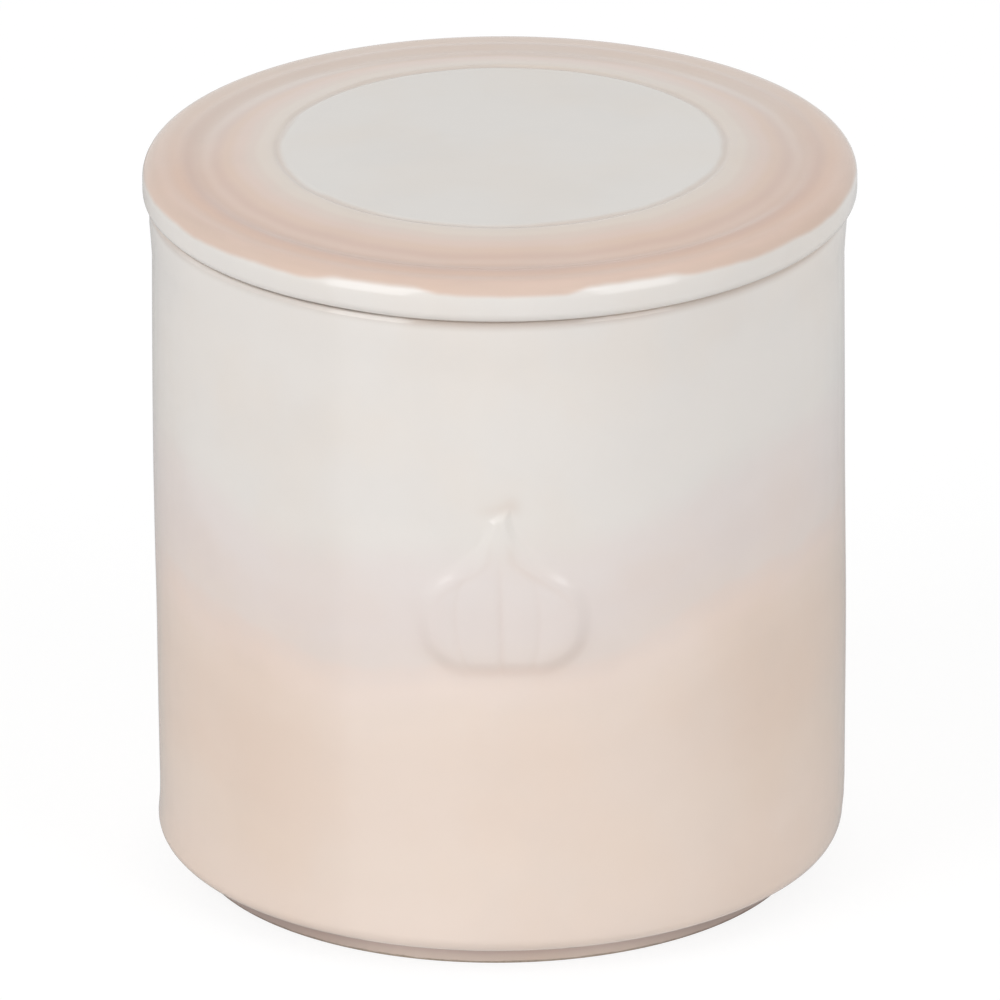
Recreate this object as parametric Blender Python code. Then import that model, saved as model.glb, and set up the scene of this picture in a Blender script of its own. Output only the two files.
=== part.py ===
"""A garlic keeper: a glazed stoneware jar with a flat lid, and a soft ring on the lid's plug.

Metres, +Z up. The origin is where the jar's axis meets the surface that the foot ring stands on.
The raised bulb faces -Y, and the vent holes are at the back, in +Y.
"""

import math

import bmesh
import bpy
import numpy as np
from mathutils import Matrix

MM = 0.001

# Jar body
JAR_HEIGHT = 118.0 * MM
JAR_RADIUS = 58.3 * MM
JAR_WALL = 5.5 * MM
JAR_FLOOR = 6.0 * MM
JAR_CORNER = 3.0 * MM
JAR_INNER_FILLET = 6.0 * MM
RIM_ROUNDING = 2.0 * MM
RIM_FLARE = 0.3 * MM
RIM_FLARE_HEIGHT = 10.0 * MM

# Foot ring under the jar
FOOT_INSET = 6.4 * MM
FOOT_HEIGHT = 3.7 * MM
FOOT_WIDTH = 5.0 * MM
FOOT_RECESS = 3.0 * MM
FOOT_CHAMFER = 0.4 * MM

# Raised garlic bulb on the front
BULB_BOTTOM = 54.2 * MM
BULB_HEIGHT = 31.0 * MM
BULB_WIDTH = 30.2 * MM
BULB_RELIEF = 1.0 * MM
BULB_SINK = 0.4 * MM
BULB_ROOT = 1.5 * MM
BULB_LEAN = 0.4 * MM
CLOVE_SEAM = 0.4 * MM
# The half width at each share of the height, from the bulb's rounded base to the cut end of its stem
BULB_HEIGHT_SHARES = (0.0, 0.03, 0.08, 0.15, 0.24, 0.35, 0.45, 0.52, 0.59, 0.66, 0.73, 0.80, 0.92, 1.0)
BULB_WIDTH_SHARES = (0.43, 0.62, 0.78, 0.90, 0.97, 1.0, 0.97, 0.91, 0.78, 0.58, 0.39, 0.26, 0.18, 0.17)
BULB_EDGE_SHARE = 0.08
BULB_FLATNESS = 4
# Where one clove meets the next, as shares of the half width, and how high up the seams fade out
CLOVE_SIDE_SHARES = (-1.0, -0.52, -0.03, 0.42, 1.0)
CLOVE_COLUMN_SHARES = (0.0, 0.2, 0.5, 0.8)
CLOVE_TOP_SHARE = 0.85

# Vent holes through the back wall
VENT_DIAMETER = 5.0 * MM
VENT_CENTRE_HEIGHT = 66.0 * MM
VENT_PITCH = 11.5 * MM
VENT_ROW_PITCH = 10.0 * MM
VENT_ROW_COUNTS = (4, 5, 4)

# Lid: heights are from the plane of its underside, and insets are from its outer edge
LID_OVERHANG = 1.7 * MM
LID_EDGE_HEIGHT = 6.75 * MM
LID_EDGE_ROUNDING = 3.0 * MM
LID_LOWER_ROUNDING = 1.8 * MM
LID_CENTRE_THICKNESS = 6.2 * MM
DISC_RISE = 1.99 * MM
DISC_INSET = 22.9 * MM
GROOVE_WIDTH = 1.3 * MM
GROOVE_DEPTH = 0.4 * MM
BAND_CROWN = 0.3 * MM
VALLEY_INSET = 9.4 * MM
VALLEY_DEPTH = 0.2 * MM
BEAD_INSET = 6.7 * MM
BEAD_WIDTH = 2.6 * MM
BEAD_HEIGHT = 0.35 * MM

# Plug under the lid, with a groove halfway down it that holds the soft ring
PLUG_DEPTH = 10.0 * MM
PLUG_WALL = 6.0 * MM
PLUG_CLEARANCE = 1.8 * MM
PLUG_CHAMFER = 0.8 * MM
SEAL_GROOVE_DEPTH = 1.5 * MM
SEAL_GROOVE_HEIGHT = 4.4 * MM

# Soft ring: a band with two lips that reach to the jar's bore
SEAL_BAND = 1.2 * MM
SEAL_LIP_SPACING = 1.2 * MM
SEAL_LIP_TIP = 0.5 * MM

# Clearances, the overrun of every cut, and the distance within which doubled points merge
SEAT_GAP = 0.3 * MM
SEAL_GAP = 0.3 * MM
CUT_OVERRUN = 3.0 * MM
MERGE_DISTANCE = 0.0005 * MM

SEGMENTS = 72
ARC_STEPS = 4
SMALL_ARC_STEPS = 2
VENT_SIDES = 16
SHARP_ANGLE = math.radians(30)

JAR_GLAZE_COLOUR = (0.80, 0.69, 0.61, 1.0)
LID_GLAZE_COLOUR = (0.68, 0.55, 0.48, 1.0)
SILICONE_COLOUR = (0.78, 0.77, 0.74, 1.0)
GLAZE_ROUGHNESS = 0.15
SILICONE_ROUGHNESS = 0.5

# Places that follow from the sizes
JAR_BORE = JAR_RADIUS - JAR_WALL
FOOT_RADIUS = JAR_RADIUS - FOOT_INSET
FLOOR_TOP = FOOT_RECESS + JAR_FLOOR
LID_RADIUS = JAR_RADIUS + LID_OVERHANG
LID_UNDERSIDE = JAR_HEIGHT + SEAT_GAP
LID_EDGE_TOP = LID_UNDERSIDE + LID_EDGE_HEIGHT
DISC_TOP = LID_EDGE_TOP + DISC_RISE
PLUG_RADIUS = JAR_BORE - PLUG_CLEARANCE
PLUG_BOTTOM = LID_UNDERSIDE - PLUG_DEPTH
SEAL_GROOVE_FLOOR = PLUG_RADIUS - SEAL_GROOVE_DEPTH
SEAL_GROOVE_TOP = LID_UNDERSIDE - (PLUG_DEPTH - SEAL_GROOVE_HEIGHT) / 2
SEAL_GROOVE_BOTTOM = SEAL_GROOVE_TOP - SEAL_GROOVE_HEIGHT


def clear_scene():
    for obj in list(bpy.data.objects):
        bpy.data.objects.remove(obj)


def material(name, colour, roughness):
    result = bpy.data.materials.new(name)
    result.use_nodes = True
    shader = result.node_tree.nodes["Principled BSDF"]
    shader.inputs["Base Color"].default_value = colour
    shader.inputs["Roughness"].default_value = roughness
    shader.inputs["Metallic"].default_value = 0.0
    return result


def arc(centre, radius, start, end, steps):
    """Points of (distance from the axis, height) round a corner, between two angles in degrees."""
    angles = [math.radians(start + (end - start) * step / steps) for step in range(steps + 1)]
    return [
        (centre[0] + radius * math.cos(angle), centre[1] + radius * math.sin(angle))
        for angle in angles
    ]


def object_of(name, shape, finish=None):
    """A bmesh as a named object, with its faces outward and its round faces shaded smooth."""
    bmesh.ops.recalc_face_normals(shape, faces=shape.faces)
    data = bpy.data.meshes.new(name)
    shape.to_mesh(data)
    shape.free()
    data.shade_smooth()
    data.set_sharp_from_angle(angle=SHARP_ANGLE)
    if finish:
        data.materials.append(finish)
    result = bpy.data.objects.new(name, data)
    bpy.context.scene.collection.objects.link(result)
    return result


def turned(name, outline, finish, closed=False):
    """A body turned about Z. An outline that isn't closed starts and ends on the axis."""
    shape = bmesh.new()
    corners = [shape.verts.new((distance, 0, height)) for distance, height in outline]
    following = corners[1:] + corners[:1] if closed else corners[1:]
    edges = [shape.edges.new(pair) for pair in zip(corners, following)]
    bmesh.ops.spin(
        shape, geom=corners + edges, cent=(0, 0, 0), axis=(0, 0, 1),
        angle=math.tau, steps=SEGMENTS, use_merge=True,
    )
    bmesh.ops.remove_doubles(shape, verts=shape.verts, dist=MERGE_DISTANCE)
    return object_of(name, shape, finish)


def combine(target, tool, operation):
    """A Boolean on the target, whose tool stays in the file as a hidden guide."""
    tool.hide_render = True
    tool.display_type = "WIRE"
    step = target.modifiers.new(tool.name, "BOOLEAN")
    step.operation = operation
    step.solver = "EXACT"
    step.object = tool


def foot_outline():
    """The underside, from the axis out over the foot ring to where the body's corner starts."""
    inner = FOOT_RADIUS - FOOT_WIDTH
    return [
        (0, FOOT_RECESS),
        (inner - FOOT_CHAMFER, FOOT_RECESS),
        (inner, FOOT_RECESS - FOOT_CHAMFER),
        (inner, FOOT_CHAMFER),
        (inner + FOOT_CHAMFER, 0),
        (FOOT_RADIUS - FOOT_CHAMFER, 0),
        (FOOT_RADIUS, FOOT_CHAMFER),
        (FOOT_RADIUS, FOOT_HEIGHT),
    ]


def rim_outline():
    """The flare of the mouth, and the rounded rim between the outer wall and the bore."""
    rounding = min(RIM_ROUNDING, JAR_WALL / 2)
    outer = (JAR_RADIUS + RIM_FLARE - rounding, JAR_HEIGHT - rounding)
    inner = (JAR_BORE + rounding, JAR_HEIGHT - rounding)
    return (
        [(JAR_RADIUS, JAR_HEIGHT - RIM_FLARE_HEIGHT)]
        + arc(outer, rounding, 0, 90, ARC_STEPS)
        + arc(inner, rounding, 90, 180, ARC_STEPS)
    )


def jar_body(finish):
    corner = (JAR_RADIUS - JAR_CORNER, FOOT_HEIGHT + JAR_CORNER)
    fillet = (JAR_BORE - JAR_INNER_FILLET, FLOOR_TOP + JAR_INNER_FILLET)
    outline = (
        foot_outline()
        + arc(corner, JAR_CORNER, -90, 0, ARC_STEPS)
        + rim_outline()
        + arc(fillet, JAR_INNER_FILLET, 0, -90, ARC_STEPS)
        + [(0, FLOOR_TOP)]
    )
    return turned("jar", outline, finish)


def bulb_columns():
    """Places across the half width, closer together where two cloves meet."""
    sides = list(zip(CLOVE_SIDE_SHARES, CLOVE_SIDE_SHARES[1:]))
    columns = [left + (right - left) * share for left, right in sides for share in CLOVE_COLUMN_SHARES]
    return columns + [CLOVE_SIDE_SHARES[-1]]


def clove_dome(across):
    """One at the middle of a clove, and zero where it meets the next."""
    for left, right in zip(CLOVE_SIDE_SHARES, CLOVE_SIDE_SHARES[1:]):
        if across <= right:
            off_centre = (2 * across - left - right) / (right - left)
            return math.sqrt(max(0, 1 - off_centre * off_centre))
    return 0


def bulb_height(across, up):
    """How far the bulb stands off the wall, at shares of its half width and of its height."""
    from_end = max(0, min(up, 1 - up) / BULB_EDGE_SHARE)
    crown = (1 - abs(across) ** BULB_FLATNESS) * min(1, math.sqrt(from_end))
    seam = CLOVE_SEAM * (1 - clove_dome(across)) * max(0, 1 - up / CLOVE_TOP_SHARE)
    return crown * (BULB_RELIEF + BULB_SINK - seam) - BULB_SINK


def bulb_point(across, up, distance):
    """A point wrapped round the jar's front, leaning to -X towards the end of the stem."""
    half_width = np.interp(up, BULB_HEIGHT_SHARES, BULB_WIDTH_SHARES) * BULB_WIDTH / 2
    angle = (across * half_width - BULB_LEAN * up * up) / JAR_RADIUS
    return (distance * math.sin(angle), -distance * math.cos(angle), BULB_BOTTOM + up * BULB_HEIGHT)


def bulb_front(across, up):
    return bulb_point(across, up, JAR_RADIUS + bulb_height(across, up))


def bulb_back(across, up):
    return bulb_point(across, up, JAR_RADIUS - BULB_ROOT)


def bulb_tool():
    """The raised bulb as a closed body, whose back and edges lie inside the wall."""
    shape = bmesh.new()
    columns = bulb_columns()
    front, back = (
        [[shape.verts.new(point_at(across, up)) for across in columns] for up in BULB_HEIGHT_SHARES]
        for point_at in (bulb_front, bulb_back)
    )
    for grid in (front, back):
        for lower, upper in zip(grid, grid[1:]):
            for near, far in zip(zip(lower, upper), zip(lower[1:], upper[1:])):
                shape.faces.new((near[0], far[0], far[1], near[1]))
    sides_of = (
        lambda grid: grid[0],
        lambda grid: grid[-1],
        lambda grid: [row[0] for row in grid],
        lambda grid: [row[-1] for row in grid],
    )
    for side_of in sides_of:
        outer, inner = side_of(front), side_of(back)
        for near, far in zip(zip(outer, inner), zip(outer[1:], inner[1:])):
            shape.faces.new((near[0], far[0], far[1], near[1]))
    return object_of("bulb_relief", shape)


def out_of_back(angle, height):
    """Turns a body along Z to point out of the middle of the back wall, at an angle round it."""
    onto_side = Matrix.Rotation(-math.pi / 2, 4, "X")
    into_wall = Matrix.Translation((0, JAR_RADIUS - JAR_WALL / 2, height))
    return Matrix.Rotation(-angle, 4, "Z") @ into_wall @ onto_side


def vent_tool():
    """Round cutters that point away from the axis, in staggered rows across the back wall."""
    shape = bmesh.new()
    middle_row = (len(VENT_ROW_COUNTS) - 1) / 2
    for row, count in enumerate(VENT_ROW_COUNTS):
        height = VENT_CENTRE_HEIGHT + (row - middle_row) * VENT_ROW_PITCH
        for place in range(count):
            angle = (place - (count - 1) / 2) * VENT_PITCH / JAR_RADIUS
            cutter = bmesh.ops.create_cone(
                shape, cap_ends=True, segments=VENT_SIDES, depth=JAR_WALL + 2 * CUT_OVERRUN,
                radius1=VENT_DIAMETER / 2, radius2=VENT_DIAMETER / 2,
            )
            bmesh.ops.transform(shape, matrix=out_of_back(angle, height), verts=cutter["verts"])
    return object_of("vent_cutter", shape)


def make_jar(finish):
    jar = jar_body(finish)
    combine(jar, bulb_tool(), "UNION")
    combine(jar, vent_tool(), "DIFFERENCE")


def lid_top_outline():
    """From the axis over the disc, its groove, the sloping band and the bead."""
    disc_radius = LID_RADIUS - DISC_INSET
    band_start = disc_radius + GROOVE_WIDTH
    valley_radius = LID_RADIUS - VALLEY_INSET
    valley = LID_EDGE_TOP - VALLEY_DEPTH
    bead_radius = LID_RADIUS - BEAD_INSET
    return [
        (0, DISC_TOP),
        (disc_radius, DISC_TOP),
        (disc_radius + GROOVE_WIDTH / 2, DISC_TOP - GROOVE_DEPTH),
        (band_start, DISC_TOP),
        ((band_start + valley_radius) / 2, (DISC_TOP + valley) / 2 + BAND_CROWN),
        (valley_radius, valley),
        (bead_radius - BEAD_WIDTH / 2, valley),
        (bead_radius, valley + BEAD_HEIGHT),
        (bead_radius + BEAD_WIDTH / 2, valley),
    ]


def lid_edge_outline():
    upper = (LID_RADIUS - LID_EDGE_ROUNDING, LID_EDGE_TOP - LID_EDGE_ROUNDING)
    lower = (LID_RADIUS - LID_LOWER_ROUNDING, LID_UNDERSIDE + LID_LOWER_ROUNDING)
    return (
        arc(upper, LID_EDGE_ROUNDING, 90, 0, ARC_STEPS)
        + arc(lower, LID_LOWER_ROUNDING, 0, -90, SMALL_ARC_STEPS)
    )


def plug_outline():
    """Down the plug, round the groove in it, and up its inner wall to the hollow's ceiling."""
    inner = PLUG_RADIUS - PLUG_WALL
    ceiling = DISC_TOP - LID_CENTRE_THICKNESS
    return [
        (PLUG_RADIUS, LID_UNDERSIDE),
        (PLUG_RADIUS, SEAL_GROOVE_TOP),
        (SEAL_GROOVE_FLOOR, SEAL_GROOVE_TOP),
        (SEAL_GROOVE_FLOOR, SEAL_GROOVE_BOTTOM),
        (PLUG_RADIUS, SEAL_GROOVE_BOTTOM),
        (PLUG_RADIUS, PLUG_BOTTOM + PLUG_CHAMFER),
        (PLUG_RADIUS - PLUG_CHAMFER, PLUG_BOTTOM),
        (inner + PLUG_CHAMFER, PLUG_BOTTOM),
        (inner, PLUG_BOTTOM + PLUG_CHAMFER),
        (inner, ceiling - PLUG_CHAMFER),
        (inner - PLUG_CHAMFER, ceiling),
        (0, ceiling),
    ]


def make_lid(finish):
    turned("lid", lid_top_outline() + lid_edge_outline() + plug_outline(), finish)


def make_seal(finish):
    """A ring in the plug's groove, whose two lips stop just short of the bore."""
    inner = SEAL_GROOVE_FLOOR + SEAL_GAP
    band = inner + SEAL_BAND
    tip = JAR_BORE - SEAL_GAP
    top = SEAL_GROOVE_TOP - SEAL_GAP
    bottom = SEAL_GROOVE_BOTTOM + SEAL_GAP
    lip_root = (top - bottom - SEAL_LIP_SPACING) / 2
    taper = (lip_root - SEAL_LIP_TIP) / 2

    def lip(low):
        return [
            (band, low),
            (tip, low + taper),
            (tip, low + taper + SEAL_LIP_TIP),
            (band, low + lip_root),
        ]

    outline = [(inner, bottom)] + lip(bottom) + lip(top - lip_root) + [(inner, top)]
    turned("seal_ring", outline, finish, closed=True)


def main():
    clear_scene()
    make_jar(material("jar_glaze", JAR_GLAZE_COLOUR, GLAZE_ROUGHNESS))
    make_seal(material("seal_silicone", SILICONE_COLOUR, SILICONE_ROUGHNESS))
    make_lid(material("lid_glaze", LID_GLAZE_COLOUR, GLAZE_ROUGHNESS))


main()
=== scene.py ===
"""The looks of the garlic keeper: a glazed jar with a raised bulb, its lid, and a soft ring between them."""

import math

import bpy
import numpy as np
from mathutils import Matrix, Quaternion, Vector


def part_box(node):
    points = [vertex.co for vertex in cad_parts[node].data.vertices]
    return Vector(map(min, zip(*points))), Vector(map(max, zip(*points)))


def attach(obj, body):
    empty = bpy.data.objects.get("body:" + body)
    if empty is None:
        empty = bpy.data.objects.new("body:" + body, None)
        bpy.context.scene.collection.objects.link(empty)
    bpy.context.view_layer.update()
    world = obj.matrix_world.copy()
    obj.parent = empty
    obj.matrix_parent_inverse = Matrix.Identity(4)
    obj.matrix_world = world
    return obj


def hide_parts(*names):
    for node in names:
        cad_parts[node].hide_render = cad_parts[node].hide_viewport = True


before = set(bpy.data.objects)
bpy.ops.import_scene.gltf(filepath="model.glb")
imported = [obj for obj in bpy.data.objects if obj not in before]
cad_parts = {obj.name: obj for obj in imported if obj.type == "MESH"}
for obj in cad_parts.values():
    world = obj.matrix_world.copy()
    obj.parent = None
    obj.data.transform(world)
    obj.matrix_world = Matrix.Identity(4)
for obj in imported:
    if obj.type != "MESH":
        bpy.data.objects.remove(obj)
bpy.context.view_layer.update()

MM = 0.001
POOLED_AND_SHADE = "pooled_and_shade"

# The frame's own boxes, which every piece is worked out from
JAR_LOW, JAR_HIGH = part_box("jar")
LID_LOW, LID_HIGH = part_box("lid")
SEAL_LOW, SEAL_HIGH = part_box("seal_ring")

# Jar
JAR_HEIGHT = JAR_HIGH.z
RIM_FLARE = 0.3 * MM
JAR_RADIUS = JAR_HIGH.x - RIM_FLARE
SEAL_GAP = 0.3 * MM
JAR_BORE = SEAL_HIGH.x + SEAL_GAP
WALL_MIDDLE = (JAR_BORE + JAR_RADIUS) / 2
JAR_CORNER = 3.0 * MM
JAR_INNER_FILLET = 6.0 * MM
# The rim's outer edge slopes in a little under the lid
RIM_SLOPE_HEIGHT = 0.8 * MM
RIM_SLOPE_INSET = 0.3 * MM
RIM_SLOPE_ROUNDING = 0.4 * MM
RIM_INNER_ROUNDING = 2.3 * MM
FLARE_START = 10.0 * MM
FLARE_LENGTH = 7.0 * MM
# The wall is a little fuller at the middle than at its ends
BARREL_HEIGHT = 60.0 * MM
BARREL_REACH = 53.0 * MM
BARREL_CROWN = 0.13 * MM
BARREL_DRAW = 0.28 * MM
# The fired wall also leans slightly to -X, most of all at its foot and high up
JAR_BEND = 0.4 * MM
BEND_HEIGHT_SHARES = (0.0, 0.04, 0.1, 0.2, 0.36, 0.5, 0.64, 0.8, 1.0)
BEND_SHARES = (-1.7, -1.35, -0.05, -0.1, -0.12, -0.54, -0.84, -0.86, -0.78)
BASE_TOP = 7.0 * MM
BASE_EASE = 3.0 * MM

# Foot ring and floor
FOOT_INSET = 6.2 * MM
FOOT_HEIGHT = 3.95 * MM
FOOT_WIDTH = 5.0 * MM
FOOT_RECESS = 3.0 * MM
FOOT_EDGE = 0.4 * MM
FOOT_CREASE = 0.25 * MM
JAR_FLOOR = 6.0 * MM

# Raised bulb
BULB_BOTTOM = 54.2 * MM
BULB_HEIGHT = 31.0 * MM
BULB_WIDTH = 30.2 * MM
BULB_RELIEF_SHARE = 0.66
BULB_RELIEF = BULB_RELIEF_SHARE * (-JAR_LOW.y - JAR_RADIUS)
BULB_LEAN = 0.9 * MM
BULB_HEIGHT_SHARES = (0.0, 0.03, 0.08, 0.15, 0.24, 0.35, 0.45, 0.52, 0.59, 0.66, 0.73, 0.80, 0.92, 1.0)
BULB_WIDTH_SHARES = (0.43, 0.62, 0.78, 0.90, 0.97, 1.0, 0.97, 0.91, 0.78, 0.58, 0.38, 0.24, 0.15, 0.14)
STEM_SLANT = 2.2 * MM
STEM_SLANT_START_SHARE = 0.86
# The width of its sloping edge, from its base up to the end of its stem
BULB_EDGE = 3.8 * MM
EDGE_HEIGHT_SHARES = (0.0, 0.22, 0.45, 0.65, 0.78, 1.0)
EDGE_WIDTH_SHARES = (1.1, 0.8, 0.95, 1.0, 0.55, 0.4)
# Where one clove meets the next, as shares of the half width, and how deep each seam is
CLOVE_SEAM_SHARES = ((-0.53, 0.5), (-0.03, 0.85), (0.4, 0.4))
CLOVE_SEAM_DEPTH = 0.16 * MM
CLOVE_SEAM_WIDTH = 1.1 * MM
CLOVE_HOLLOW_DEPTH = 0.12 * MM
CLOVE_HOLLOW_WIDTH = 4.5 * MM
CLOVE_FADE_SHARE = 0.4
CLOVE_TOP_SHARE = 0.8
# A fine line follows the inner end of each shoulder's slope, and is weaker on the left
SHOULDER_LEFT_SHARE = 0.6
SHOULDER_LINE_DEPTH = 0.12 * MM
SHOULDER_LINE_WIDTH = 1.2 * MM
SHOULDER_START_SHARE = 0.38
SHOULDER_END_SHARE = 0.85
SHOULDER_EASE_SHARE = 0.15
# Where glaze has gathered: in the seams, round the base, and on top of the stem. Round the base, on the
# bulb's downward-facing lower slope, the darkening is also painted shade
SEAM_POOL_SHARE = 0.16
BASE_POOL_AND_SHADE_SHARE = 0.25
BASE_POOL_AND_SHADE_WIDTH = 4.0 * MM
BASE_POOL_AND_SHADE_TOP_SHARE = 0.45
STEM_POOL_SHARE = 0.32
STEM_POOL_WIDTH = 3.2 * MM
STEM_POOL_START_SHARE = 0.92
OUTLINE_POINTS = 90

# Vent holes at the back
VENT_DIAMETER = 5.0 * MM
VENT_CENTRE_HEIGHT = 66.0 * MM
VENT_PITCH = 11.5 * MM
VENT_ROW_PITCH = 10.0 * MM
VENT_ROW_COUNTS = (4, 5, 4)
VENT_OUTER_ROUNDING = 0.8 * MM
VENT_INNER_ROUNDING = 0.5 * MM
VENT_SIDES = 40
VENT_LIP_ANGLE = math.radians(72)
VENT_LIP_STEPS = 6
VENT_OVERRUN = 0.4 * MM

# Lid
LID_RADIUS = LID_HIGH.x
DISC_TOP = LID_HIGH.z
DISC_RISE = 1.99 * MM
LID_EDGE_TOP = DISC_TOP - DISC_RISE
LID_EDGE_HEIGHT = 6.95 * MM
LID_UNDERSIDE = LID_EDGE_TOP - LID_EDGE_HEIGHT
LID_EDGE_ROUNDING = 3.0 * MM
LID_LOWER_ROUNDING = 1.9 * MM
LID_CENTRE_THICKNESS = 6.2 * MM
DISC_RADIUS = LID_RADIUS - 22.9 * MM
LID_EDGE_START = LID_RADIUS - LID_EDGE_ROUNDING
LID_CEILING = DISC_TOP - LID_CENTRE_THICKNESS
GROOVE_WIDTH = 1.3 * MM
GROOVE_DEPTH = 0.26 * MM
GROOVE_RADIUS = DISC_RADIUS + GROOVE_WIDTH / 2
GROOVE_REACH = 1.5 * GROOVE_WIDTH
# The flat disc lies a little to +X of the lid's middle
DISC_SHIFT = 0.3 * MM
DISC_SHIFT_WIDTH = 16.0 * MM
VALLEY_RADIUS = LID_RADIUS - 9.4 * MM
VALLEY_DEPTH = 0.2 * MM
# How far the band has dropped from the disc to the valley, by shares of its width
BAND_WIDTH_SHARES = (0.0, 0.15, 0.5, 1.0)
BAND_DROP_SHARES = (0.0, 0.1, 0.42, 1.0)
BEAD_RADIUS = LID_RADIUS - 6.7 * MM
BEAD_WIDTH = 2.6 * MM
BEAD_HEIGHT = 0.35 * MM

# The edge's underside is a little higher at the front left, between these angles from the front
LID_LIFT = 0.2 * MM
LIFT_START = math.radians(-85)
LIFT_END = math.radians(-10)
LIFT_EASE = math.radians(20)

# Plug under the lid
PLUG_CLEARANCE = 1.8 * MM
PLUG_RADIUS = JAR_BORE - PLUG_CLEARANCE
PLUG_BOTTOM = LID_LOW.z
PLUG_WALL = 6.0 * MM
PLUG_ROUNDING = 0.9 * MM
PLUG_FILLET = 1.2 * MM
PLUG_INNER_FILLET = 2.5 * MM
SEAL_GROOVE_DEPTH = 1.5 * MM
SEAL_GROOVE_FLOOR = PLUG_RADIUS - SEAL_GROOVE_DEPTH
SEAL_GROOVE_TOP = SEAL_HIGH.z + SEAL_GAP
SEAL_GROOVE_BOTTOM = SEAL_LOW.z - SEAL_GAP
SEAL_GROOVE_ROUNDING = 0.35 * MM

# Soft ring
SEAL_BAND = 1.2 * MM
SEAL_LIP_SPACING = 1.2 * MM
SEAL_LIP_TIP = 0.5 * MM
SEAL_LIP_ROUNDING = 0.22 * MM
SEAL_ROOT_ROUNDING = 0.3 * MM

# How finely the surfaces are divided
SIDE_STEP = math.radians(1.5)
BULB_STEP = math.radians(0.35)
VENT_STEP = math.radians(0.9)
BULB_HALF_ANGLE = math.radians(16.8)
VENT_HALF_ANGLE = math.radians(32.0)
COARSE_STEP = 3.0 * MM
FINE_STEP = 0.4 * MM
LID_STEP = 0.6 * MM
GROOVE_STEP = 0.15 * MM
DETAIL_LOW = 51.0 * MM
DETAIL_HIGH = 88.0 * MM
ARC_STEP = math.radians(12)
TINY = 1e-12

# Camera: an aim near the middle of the keeper, from a little above, and hardly rolled
AIM_ACROSS = -0.2 * MM
AIM_HEIGHT = 62.87 * MM
CAMERA_DISTANCE = 3.0
CAMERA_AZIMUTH = math.radians(-0.4)
CAMERA_ELEVATION = math.radians(21.97)
CAMERA_ROLL = math.radians(-0.25)
CAMERA_LENS = 638.86
CAMERA_SENSOR = 36.0
CAMERA_FAR = 30.0

# Studio: brightness is in shares of white
AMBIENT = 0.45
BACKDROP_LEVEL = 1.0
FLOOR_SIZE = 12.0
FLOOR_HEIGHT = -0.05 * MM
FLOOR_GLOW = 1.1
FLOOR_SHADOW_SHARE = 0.22
# The glaze mirrors a pale grey where the camera sees white, and a darker floor behind the keeper's sides
MIRRORED_LEVEL = 0.8
MIRRORED_FRONT_LEVEL = 1.05
MIRRORED_SIDE_LEVEL = 0.42
MIRRORED_FRONT_REACH = -100.0 * MM
MIRRORED_SIDE_REACH = 20.0 * MM
MIRRORED_NEAR_REACH = 0.2
MIRRORED_FAR_REACH = 0.7
# The bright front of that floor ends at a straight line on the left, which the glaze mirrors as an
# upright edge, this far round from the front
MIRRORED_EDGE_TURN = math.radians(27.5)
MIRRORED_EDGE_SOFTNESS = 6.0 * MM
# Two soft boxes light the keeper, and two smaller ones are only mirrored in its glaze. A wide lamp fills in
# the back. Azimuths and elevations are in degrees
LEFT_BOX_AZIMUTH = -52
RIGHT_BOX_AZIMUTH = 48
BOX_ELEVATION = 30
BOX_DISTANCE = 1.6
BOX_SIZE = (0.9, 1.36)
LEFT_BOX_LEVEL = 2.47
RIGHT_BOX_LEVEL = 1.87
MIRRORED_BOX_AZIMUTH = 42
MIRRORED_BOX_ELEVATION = 22
MIRRORED_BOX_DISTANCE = 1.4
MIRRORED_BOX_SIZE = (0.67, 1.19)
LEFT_MIRRORED_LEVEL = 2.1
RIGHT_MIRRORED_LEVEL = 1.65
BACK_FILL_AZIMUTH = 180
BACK_FILL_ELEVATION = 10
BACK_FILL_DISTANCE = 1.9
BACK_FILL_SIZE = (2.4, 0.5)
BACK_FILL_LEVEL = 3.2
# Watts for each square metre of a lamp's face that looks as bright as white
POWER_PER_LEVEL = 4.0


def srgb(red, green, blue):
    """A screen colour, with each part from 0 to 255, as the linear colour that a node takes."""
    parts = [part / 255 for part in (red, green, blue)]
    return (*[p / 12.92 if p <= 0.04045 else ((p + 0.055) / 1.055) ** 2.4 for p in parts], 1.0)


WHITE_GLAZE = srgb(230, 225, 220)
# The inside is white, by the distance from the axis and by the height above the foot
INSIDE_GLAZE = srgb(231, 227, 219)
INSIDE_WALL = (JAR_BORE + 2.2 * MM, JAR_BORE + 0.6 * MM)
INSIDE_FLOOR = (FOOT_HEIGHT, FOOT_HEIGHT + JAR_FLOOR / 2)
# Darker glaze where it has gathered, also used as painted shade under the bulb's lower slope
POOLED_AND_SHADE_TINT = srgb(236, 222, 212)
# Painted shadow of the lid darkens the jar's rim under its overhang, and painted shade darkens the top of the
# foot ring
RIM_SHADOW_TINT = srgb(222, 212, 206)
RIM_SHADOW_START = JAR_HEIGHT - 2.0 * MM
RIM_SHADOW_END = JAR_HEIGHT + 0.2 * MM
# That painted shadow is weaker in one place on the outside at the front left, given in X, in Y and in
# distance
RIM_PALE_SHARE = 0.5
RIM_PALE_LEFT = (-58.0 * MM, -50.0 * MM)
RIM_PALE_RIGHT = (-14.0 * MM, -18.0 * MM)
RIM_PALE_FRONT = (-10.0 * MM, -30.0 * MM)
RIM_PALE_OUTSIDE = (JAR_RADIUS - 2.0 * MM, JAR_RADIUS - 1.0 * MM)
# Painted shade: the foot ring darkens towards the sides, by the place in X, where the jar's overhang shades
# it more
FOOT_SIDE_SHADE_TINT = srgb(206, 202, 206)
FOOT_SHADE_SIDES = (14.0 * MM, 46.0 * MM)
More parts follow.
